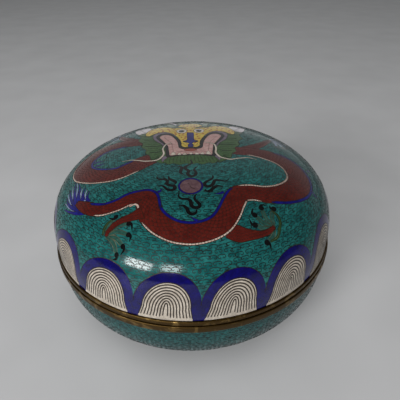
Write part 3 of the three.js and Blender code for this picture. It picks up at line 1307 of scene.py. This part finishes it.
@dataclass
class ShellMesh:
    """Gathers the faces of one hollow shell: outside, mouth and lining."""

    outer: TurnedWall
    inner: TurnedWall
    corners: list[Points] = field(default_factory=list)
    faces: list[list[int]] = field(default_factory=list)
    slots: list[int] = field(default_factory=list)
    normals: list[Points] = field(default_factory=list)
    uvs: list[Points] = field(default_factory=list)
    count: int = 0

    def add_points(self, points: Points) -> int:
        """Add vertices.

        Args:
            points: Their places, in metres.

        Returns:
            The number of the first.
        """
        self.corners.append(points)
        self.count += len(points)
        return self.count - len(points)

    def add_face(self, face: list[int], slot: int, normals: Points, uvs: Points) -> None:
        """Add one face.

        Args:
            face: Its vertex numbers.
            slot: Its material.
            normals: Shading normals of its corners.
            uvs: Places of its corners on the map.
        """
        self.faces.append(face)
        self.slots.append(slot)
        self.normals.append(normals)
        self.uvs.append(uvs)

    def close(self, rim: list[int], turns: np.ndarray, slot: int, rings: int = 16) -> None:
        """Close the shell from its outside rim, over the mouth, with the lining.

        Args:
            rim: Vertex numbers of the outside's edge, in order around.
            turns: Their angles from the front.
            slot: Material of mouth and lining.
            rings: Rings of faces in the lining.
        """
        share = np.linspace(0, 1, rings + 1)[:-1]
        flat = lathe_rings(self.inner, turns, self.inner.length * (1 - share**1.4))
        spots, normals = self.inner.place(flat)
        first = self.add_points(spots)
        crown = self.add_points(self.inner.place(np.zeros((1, 2)))[0])
        uv = LINING_SPOT + flat / self.inner.length * LINING_REACH
        n = len(turns)
        down = np.tile([[0.0, 0.0, -1.0 * self.outer.way]], (4, 1))
        for i in range(n):
            j = (i + 1) % n
            self.add_face([rim[i], rim[j], first + j, first + i], slot, down, np.tile(uv[i], (4, 1)))
            for ring in range(rings - 1):
                a, b = ring * n, (ring + 1) * n
                ids = [a + i, a + j, b + j, b + i]
                self.add_face([first + k for k in ids], slot, normals[ids], uv[ids])
            last = (rings - 1) * n
            ids = [last + i, last + j]
            up = np.vstack([normals[ids], [[0, 0, -1.0 * self.outer.way]]])
            uvs = np.vstack([uv[ids], [[LINING_SPOT, LINING_SPOT]]])
            self.add_face([first + last + i, first + last + j, crown], slot, up, uvs)

    def face_outwards(self, corners: Points) -> None:
        """Turn over the faces that look away from their shading normals.

        Args:
            corners: All vertices, in metres.
        """
        for k, (face, normals, uvs) in enumerate(zip(self.faces, self.normals, self.uvs)):
            a, b, c = corners[face[0]], corners[face[1]], corners[face[2]]
            if np.dot(np.cross(b - a, c - a), normals.sum(0)) < 0:
                self.faces[k], self.normals[k], self.uvs[k] = face[::-1], normals[::-1], uvs[::-1]

    def build(self, name: str, materials: list[bpy.types.Material]) -> bpy.types.Object:
        """Make the shell's piece.

        Args:
            name: Its name.
            materials: Its materials.

        Returns:
            The piece.
        """
        corners = np.vstack(self.corners)
        self.face_outwards(corners)
        slots, normals, uvs = np.array(self.slots), np.vstack(self.normals), np.vstack(self.uvs)
        return make_piece(name, corners, self.faces, materials, slots, normals, uvs)


# ---------------------------------------------------------------------------------------------
# Sub-assemblies
# ---------------------------------------------------------------------------------------------


def seam_height() -> float:
    """Height of the seam above the table, in mm, from the lid's band."""
    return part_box("lid_rim")[0].z / MM - SEAT_GAP / 2


def dress(piece: bpy.types.Object, slot: str, *nodes: str) -> bpy.types.Object:
    """Fix a piece to the box and report it.

    Args:
        piece: The piece.
        slot: Its finish's slot; not used.
        *nodes: The solids that it stands for.

    Returns:
        The piece.
    """
    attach(piece, "root")
    if nodes:
        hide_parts(*nodes)
    log.info("%s: %d faces", piece.name, len(piece.data.polygons))
    return piece


@dataclass
class Lid:
    """The domed lid: enamelled shell with its picture, and all its wires.

    Attributes:
        grid: Spacing of the points that carry the dome's curve, in mm.
        ground: The curled wires of the ground.
        border: The lappets.
    """

    grid: float = 2.6
    ground: FretGround = FretGround()
    border: LappetBorder = LappetBorder()

    def walls(self) -> tuple[TurnedWall, TurnedWall]:
        """Size the shell from its solid.

        Returns:
            Its outside and its inside.
        """
        low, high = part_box("lid_shell")
        seam = seam_height()
        mouth = low.z / MM - seam
        rise = high.z / MM - seam
        radius = high.x / MM
        outer = TurnedWall(radius, rise, mouth, LID_FULLNESS, seam, 1)
        return outer, TurnedWall(radius - WALL, rise - WALL, mouth, LID_FULLNESS, seam, 1, -1)

    def draw(self, wall: TurnedWall) -> Picture:
        """Draw the whole lid, what is behind first.

        Args:
            wall: Its outside.

        Returns:
            The picture.
        """
        picture = Picture()
        ground = self.ground.wires(wall, 3.0, wall.length - 14, SEED)
        for line in ground:
            picture.line(line, self.ground.width, WireSet.GROUND)
        self.border.draw(picture, wall)
        for leg in LEGS[2:]:
            leg.draw(picture)
        TailFin().draw(picture)
        NECK_COIL.draw(picture)
        LEGS[1].draw(picture)
        MAIN_COIL.draw(picture)
        LEGS[0].draw(picture)
        Head().draw(picture)
        Pearl().draw(picture)
        return picture

    def spread_points(self, outer: TurnedWall) -> Points:
        """Spread points over the whole dome so that its facets follow its curve.

        Args:
            outer: Its outside.

        Returns:
            The points, as drawn points.
        """
        across = np.arange(-outer.length, outer.length, self.grid)
        u, v = np.meshgrid(across, across)
        u = u + (np.arange(len(across)) % 2)[:, None] * self.grid / 2
        spread = np.stack([u.ravel(), v.ravel()], 1)
        return spread[np.hypot(*spread.T) < outer.length - 0.8]

    def enamel(self, picture: Picture, outer: TurnedWall, inner: TurnedWall) -> bpy.types.Object:
        """Make the shell, its outside parted into the picture's cells.

        Args:
            picture: The picture.
            outer: The shell's outside.
            inner: Its inside.

        Returns:
            The piece.
        """
        turns = np.arange(ROUND_STEPS) / ROUND_STEPS * 2 * math.pi
        rim = outer.at(outer.length, turns)
        points, edges, base = [], [], 0
        for outline in [rim] + [outline for outline, _ in picture.cells]:
            points.append(outline)
            count = len(outline)
            edges += [(base + i, base + (i + 1) % count) for i in range(count)]
            base += count
        points.append(self.spread_points(outer))
        flat_in = [Vector(p) for p in np.vstack(points)]
        result = delaunay_2d_cdt(flat_in, edges, [], 0, 1e-5, False)
        flat = np.array([tuple(p) for p in result[0]])
        facets = np.array(result[2])
        middles = flat[facets].mean(axis=1)
        facets, middles = facets[inside(middles, rim)], middles[inside(middles, rim)]
        kept = list(Enamel)
        slots = np.full(len(facets), kept.index(Enamel.GROUND))
        for outline, enamel in picture.cells:
            slots[inside(middles, outline)] = kept.index(enamel)
        shell = ShellMesh(outer, inner)
        spots, normals = outer.place(flat)
        shell.add_points(spots)
        uv = on_map(flat, outer.length)
        for facet, slot in zip(facets, slots):
            shell.add_face(list(facet), slot, normals[facet], uv[facet])
        edge = np.nonzero(np.abs(np.hypot(*flat.T) - outer.length) < 0.02)[0]
        angle = np.arctan2(flat[edge, 0], -flat[edge, 1])
        order = np.argsort(angle)
        shell.close(list(edge[order]), angle[order], kept.index(Enamel.LINING))
        materials = [ENAMELS[enamel].material(enamel.value) for enamel in kept]
        return shell.build("lid_enamel", materials)

    def build(self) -> None:
        """Make and dress every piece of the lid."""
        outer, inner = self.walls()
        picture = self.draw(outer)
        dress(self.enamel(picture, outer, inner), "lid_enamel", "lid_shell")
        finishes = {
            WireSet.OUTLINE: DARK_WIRE.material("outline_wire"),
            WireSet.PAW: PAW_WIRE.material("paw_wire"),
            WireSet.STRIPE: STRIPE_WIRE.material("lappet_wire"),
            WireSet.SCALE: SCALE_WIRE.material("scale_wire"),
            WireSet.GROUND: GROUND_WIRE.material("lid_ground_wire"),
        }
        for group, finish in finishes.items():
            runs = picture.bare_runs(group)
            runs = [(line[np.hypot(*line.T) < outer.length], width) for line, width in runs]
            runs = [(line, width) for line, width in runs if len(line) > 2]
            dress(wire_bars(group.value, runs, outer, finish), "lid_enamel")


@dataclass
class Bowl:
    """The bowl: enamelled shell with curled wires over its outside.

    Attributes:
        ground: The curled wires.
        bare: Radius inside which the underside is plain, in mm.
        rings: Rings of faces on the outside.
    """

    ground: FretGround = FretGround()
    bare: float = 62.0
    rings: int = 44

    def walls(self) -> tuple[TurnedWall, TurnedWall]:
        """Size the shell from its solid.

        Returns:
            Its outside and its inside.
        """
        low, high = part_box("bowl_shell")
        seam = seam_height()
        mouth = seam - high.z / MM
        rise = seam - low.z / MM
        radius = high.x / MM
        outer = TurnedWall(radius, rise, mouth, BOWL_FULLNESS, seam, -1)
        return outer, TurnedWall(radius - WALL, rise - WALL, mouth, BOWL_FULLNESS, seam, -1, -1)

    def enamel(self, outer: TurnedWall, inner: TurnedWall) -> bpy.types.Object:
        """Make the shell: ground enamel outside, darker than the lid's as painted shade, plain lining inside
        and underneath.

        Args:
            outer: Its outside.
            inner: Its inside.

        Returns:
            The piece.
        """
        turns = np.arange(ROUND_STEPS) / ROUND_STEPS * 2 * math.pi
        ways = np.linspace(outer.length, 0, self.rings + 1)[:-1]
        shell = ShellMesh(outer, inner)
        flat = lathe_rings(outer, turns, ways)
        spots, normals = outer.place(flat)
        first = shell.add_points(spots)
        bottom = shell.add_points(outer.place(np.zeros((1, 2)))[0])
        uv = on_map(flat, outer.length)
        n = ROUND_STEPS
        for ring, way in enumerate(ways):
            slot = 0 if float(outer.radius_at(way)) > self.bare - 4 else 1
            for i in range(n):
                j = (i + 1) % n
                if ring + 1 < len(ways):
                    ids = [ring * n + j, ring * n + i, (ring + 1) * n + i, (ring + 1) * n + j]
                    shell.add_face([first + k for k in ids], slot, normals[ids], uv[ids])
                else:
                    ids = [ring * n + j, ring * n + i]
                    down = np.vstack([normals[ids], [[0.0, 0.0, -1.0]]])
                    uvs = np.vstack([uv[ids], [[0.5, 0.5]]])
                    shell.add_face([first + ids[0], first + ids[1], bottom], slot, down, uvs)
        shell.close([first + i for i in range(n)], turns, 1)
        materials = [
            # The outside's teal is darker than the lid's ground teal: painted shade.
            BOWL_SHADED_TEAL.material("bowl_teal_painted_shade"),
            ENAMELS[Enamel.LINING].material("bowl_lining"),
        ]
        return shell.build("bowl_enamel", materials)

    def build(self) -> None:
        """Make and dress every piece of the bowl."""
        outer, inner = self.walls()
        dress(self.enamel(outer, inner), "bowl_enamel", "bowl_shell")
        start = float(np.interp(self.bare, outer.curve[:, 1], outer.curve[:, 0]))
        lines = self.ground.wires(outer, start + 2.5, outer.length - 1.2, SEED + 1)
        runs = [(line, self.ground.width) for line in lines]
        finish = GROUND_WIRE.material("bowl_ground_wire")
        dress(wire_bars("bowl_ground_wires", runs, outer, finish), "bowl_enamel")


@dataclass
class BrassRing:
    """A turned brass ring with eased edges, around the seam or under the bowl.

    Attributes:
        name: The piece's name.
        node: The solid that it stands for.
        section: Corners of its section: radius and height in mm, and how far each is eased.
        finish: Its metal.
    """

    name: str
    node: str
    section: list[tuple[float, float, float]]
    finish: MetalFinish = BAND_BRASS

    def outline(self) -> Points:
        """Ease the section's corners.

        Returns:
            The outline, rows of radius and height in mm.
        """
        corners = np.array(self.section)
        points = []
        for before, here, after in zip(np.roll(corners, 1, 0), corners, np.roll(corners, -1, 0)):
            to_before = (before - here)[:2] / np.linalg.norm((before - here)[:2])
            to_after = (after - here)[:2] / np.linalg.norm((after - here)[:2])
            for t in np.linspace(0, 1, 6):
                curve = (1 - t) ** 2 * to_before + t**2 * to_after
                points.append(here[:2] + curve * here[2])
        return np.array(points)

    def build(self) -> None:
        """Make and dress the ring."""
        outline = self.outline()
        n, m = ROUND_STEPS, len(outline)
        turns = np.arange(n) / n * 2 * math.pi
        aim = np.stack([np.sin(turns), -np.cos(turns)], 1)
        rings = [np.column_stack([aim * radius, np.full(n, height)]) for radius, height in outline]
        corners = np.vstack(rings) * MM
        faces = []
        for k in range(m):
            a, b = k * n, ((k + 1) % m) * n
            faces += [[a + i, a + (i + 1) % n, b + (i + 1) % n, b + i] for i in range(n)]
        piece = make_piece(self.name, corners, faces, [self.finish.material(self.name + "_brass")])
        piece.data.shade_smooth()
        piece.data.set_sharp_from_angle(angle=math.radians(40))
        dress(piece, "brass", self.node)


def brass_rings() -> list[BrassRing]:
    """Size the two bands at the seam and the foot ring from their solids.

    Returns:
        The rings.
    """
    lid_low, lid_high = (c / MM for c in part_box("lid_rim"))
    bowl_low, bowl_high = (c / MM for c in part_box("bowl_rim"))
    foot_low, foot_high = (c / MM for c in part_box("foot_ring"))
    seam = seam_height()
    wall = Bowl().walls()[0]
    bore, lip, lip_bore, foot_bore = 95.6, 95.0, 93.8, 56.0

    def under(radius: float) -> float:
        """Height of the bowl's underside at a radius, less the seat's gap."""
        way = np.interp(radius, wall.curve[:, 1], wall.curve[:, 0])
        return seam - float(np.interp(way, wall.curve[:, 0], wall.curve[:, 2])) - SEAT_GAP

    lid_band = [
        (bore, lid_low.z, 0.2), (lid_high.x, lid_low.z, 0.5),
        (lid_high.x, lid_high.z, 0.8), (bore, lid_high.z, 0.2),
    ]
    bowl_band = [
        (lip_bore, bowl_low.z, 0.2), (bowl_high.x, bowl_low.z, 0.9), (bowl_high.x, seam - SEAT_GAP / 2, 0.7),
        (lip, seam - SEAT_GAP / 2, 0.1), (lip, bowl_high.z, 0.4), (lip_bore, bowl_high.z, 0.4),
    ]
    foot = [
        (foot_bore, foot_low.z, 0.6), (foot_high.x, foot_low.z, 0.7), (foot_high.x, under(foot_high.x), 0.2),
        (foot_bore, under(foot_bore), 0.2),
    ]
    return [
        BrassRing("lid_brass_band", "lid_rim", lid_band),
        BrassRing("bowl_brass_band", "bowl_rim", bowl_band),
        BrassRing("brass_foot_ring", "foot_ring", foot),
    ]


@dataclass(frozen=True)
class Lamp:
    """One soft rectangular light, aimed at the box.

    Attributes:
        name: Its name.
        turn: Its direction around the box, in degrees left to right from the front.
        lift: Its height angle, in degrees.
        watts: Its power.
        wide: Its width, in metres.
        tall: Its height.
        away: Its distance.
        in_gloss: Whether glossy surfaces show it.
    """

    name: str
    turn: float
    lift: float
    watts: float
    wide: float
    tall: float
    away: float = 1.7
    in_gloss: bool = True

    def build(self) -> None:
        """Hang the light."""
        data = bpy.data.lights.new(self.name, "AREA")
        data.shape = "RECTANGLE"
        data.size, data.size_y, data.energy = self.wide, self.tall, self.watts
        turn, lift = math.radians(self.turn), math.radians(self.lift)
        aim = Vector((math.sin(turn) * math.cos(lift), -math.cos(turn) * math.cos(lift), math.sin(lift)))
        lamp = bpy.data.objects.new(self.name, data)
        lamp.visible_glossy = self.in_gloss
        lamp.location = aim * self.away + Vector((0, 0, seam_height() * MM))
        lamp.rotation_euler = aim.to_track_quat("Z", "Y").to_euler()
        bpy.context.scene.collection.objects.link(lamp)


@dataclass(frozen=True)
class Stage:
    """Pale floor, soft lights and the camera.

    Attributes:
        distance: From the camera to the middle of the seam, in mm.
        elevation: Height angle of the camera, in degrees.
        yaw: How far the camera is turned left of the middle, in degrees.
        pitch: How far it is tilted up from the middle.
        roll: How far it leans.
        lens: Focal length for a sensor 36 mm wide.
        bright_side: Direction of the room's pale walls.
        room: Brightness of the room by how far a direction leans to that side.
        lamps: Its lights.
    """

    distance: float = 288.8
    elevation: float = 36.5
    yaw: float = -1.19
    pitch: float = 2.87
    roll: float = 1.72
    lens: float = 33.67
    bright_side: tuple[float, float, float] = (0.0, 0.8, -0.6)
    room: tuple[tuple[float, float], ...] = ((0.0, 0.10), (0.3, 0.36), (0.6, 0.40), (0.8, 0.85))
    lamps: tuple[Lamp, ...] = (
        Lamp("window_left", -41, 22, 15, 0.52, 0.38),
        Lamp("window_right", -17, 25, 6, 0.36, 0.34),
        Lamp("ceiling", -12, 62, 27, 2.0, 2.0, 2.2, False),
    )

    def camera(self) -> None:
        """Set up the camera."""
        lift = math.radians(self.elevation)
        seam = Vector((0, 0, seam_height() * MM))
        back = Vector((0, -math.cos(lift), math.sin(lift))) * self.distance * MM
        forward = -back.normalized()
        right = forward.cross(Vector((0, 0, 1))).normalized()
        up = right.cross(forward)
        turn = Matrix.Rotation(math.radians(self.yaw), 3, up)
        forward, right = turn @ forward, turn @ right
        turn = Matrix.Rotation(math.radians(self.pitch), 3, right)
        forward, up = turn @ forward, turn @ up
        turn = Matrix.Rotation(math.radians(self.roll), 3, forward)
        right, up = turn @ right, turn @ up
        data = bpy.data.cameras.new("camera")
        data.sensor_width = 36
        data.lens = self.lens
        data.clip_start = 0.01
        camera = bpy.data.objects.new("camera", data)
        basis = Matrix((right, up, -forward)).transposed().to_4x4()
        camera.matrix_world = Matrix.Translation(seam + back) @ basis
        bpy.context.scene.collection.objects.link(camera)
        bpy.context.scene.camera = camera

    def floor(self, reach: float = 5.0) -> None:
        """Lay a pale floor.

        Args:
            reach: How far it runs to each side, in metres.
        """
        corners = [(-reach, -reach, 0.0), (reach, -reach, 0.0), (reach, reach, 0.0), (-reach, reach, 0.0)]
        bench = NodeBench("pale_floor")
        tone = bench.spread(bench.noise(90.0, 2.0), 0.3, 0.7)
        shade = bench.mix(tone, (0.50, 0.50, 0.505, 1), (0.55, 0.55, 0.555, 1))
        bench.feed(bench.shader.inputs["Base Color"], shade)
        bench.shader.inputs["Roughness"].default_value = 0.5
        make_piece("floor", np.array(corners), [[0, 1, 2, 3]], [bench.material])

    def world(self) -> None:
        """Fill the room with soft light: pale walls low down behind, dim ceiling and front."""
        world = bpy.data.worlds.new("room")
        world.use_nodes = True
        tree = world.node_tree
        shade = tree.nodes["Background"]
        shade.inputs["Strength"].default_value = 1.0
        aim = tree.nodes.new("ShaderNodeTexCoord")
        facing = tree.nodes.new("ShaderNodeVectorMath")
        facing.operation = "DOT_PRODUCT"
        facing.inputs[1].default_value = self.bright_side
        ramp = tree.nodes.new("ShaderNodeValToRGB")
        stops = ramp.color_ramp.elements
        for _ in range(len(self.room) - len(stops)):
            stops.new(0.5)
        for stop, (place, grey) in zip(stops, self.room):
            stop.position = place
            stop.color = (grey * 0.97, grey * 0.99, grey, 1)
        tree.links.new(aim.outputs["Generated"], facing.inputs[0])
        tree.links.new(facing.outputs["Value"], ramp.inputs["Fac"])
        tree.links.new(ramp.outputs["Color"], shade.inputs["Color"])
        bpy.context.scene.world = world

    def build(self) -> None:
        """Set the stage."""
        self.camera()
        self.floor()
        self.world()
        for lamp in self.lamps:
            lamp.build()
        bpy.context.scene.view_settings.view_transform = "Standard"


def main() -> None:
    """Build the box piece by piece and set the stage."""
    logging.basicConfig(level=logging.INFO, format="%(name)s: %(message)s")
    Stage().build()
    Bowl().build()
    for ring in brass_rings():
        ring.build()
    Lid().build()


if __name__ == "__main__":
    main()
